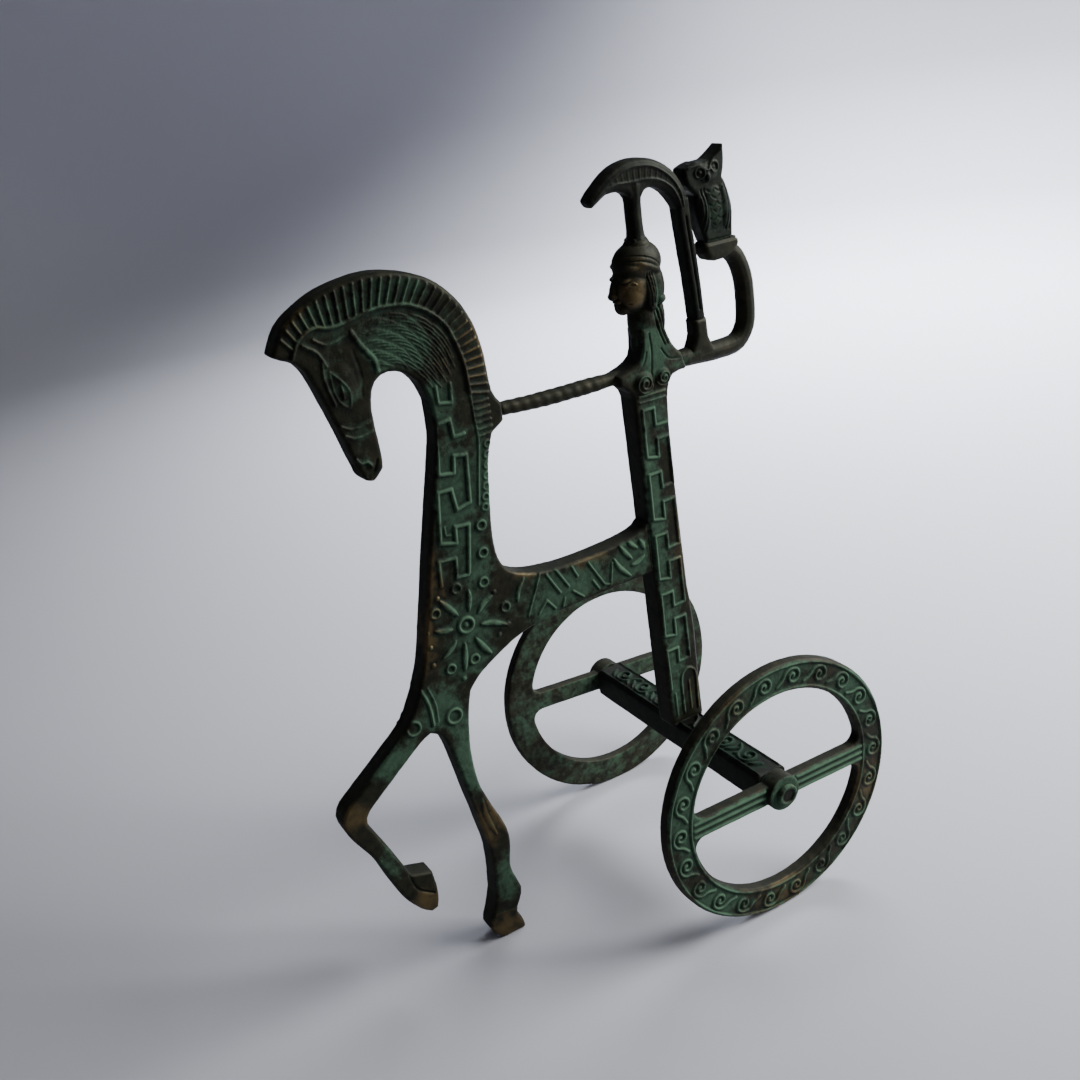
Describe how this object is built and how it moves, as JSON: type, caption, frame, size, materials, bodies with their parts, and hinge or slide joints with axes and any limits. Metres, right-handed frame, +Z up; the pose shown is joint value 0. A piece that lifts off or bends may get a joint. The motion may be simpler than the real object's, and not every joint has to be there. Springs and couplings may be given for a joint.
{
  "type": "bronze horse and charioteer statuette",
  "caption": "Flat cast bronze statuette of an arch-necked horse, its fore legs stepping, joined to a helmeted charioteer on a cross bar with a pair of free turning two-spoke wheels.",
  "frame": {"origin": "on the surface that the wheels and the standing hoof rest on, under the middle of the bounding box", "axes": "+X forward, the way the horse faces; +Y to the left-hand wheel, along the axle; +Z up"},
  "size_m": [0.1266, 0.0798, 0.175],
  "materials": {
    "horse_bronze": "cast bronze, green patina over brown, rubbed to warm brown on the high edges",
    "charioteer_bronze": "cast bronze, blue-green patina in the recesses",
    "dark_bronze": "cast bronze, near black brown patina",
    "owl_bronze": "cast bronze, dull green patina",
    "axle_bronze": "cast bronze, very dark green patina",
    "wheel_bronze": "cast bronze, pale green patina on the raised ornament, brown where handled",
    "pin_bronze": "drawn bronze, dark"
  },
  "bodies": {
    "statue": {"horse": "horse_bronze", "charioteer": "charioteer_bronze", "helmet_crest": "dark_bronze", "owl": "owl_bronze", "axle_bar": "axle_bronze", "left_axle_pin": "pin_bronze", "right_axle_pin": "pin_bronze"},
    "left_wheel": {"left_wheel": "wheel_bronze"},
    "right_wheel": {"right_wheel": "wheel_bronze"}
  },
  "joints": [
    {"name": "left_wheel_spin", "type": "hinge", "parent": "statue", "child": "left_wheel", "pos_m": [-0.0303, 0.0355, 0.033], "axis": [0, 1, 0], "continuous": true},
    {"name": "right_wheel_spin", "type": "hinge", "parent": "statue", "child": "right_wheel", "pos_m": [-0.0303, -0.0355, 0.033], "axis": [0, 1, 0], "continuous": true}
  ]
}
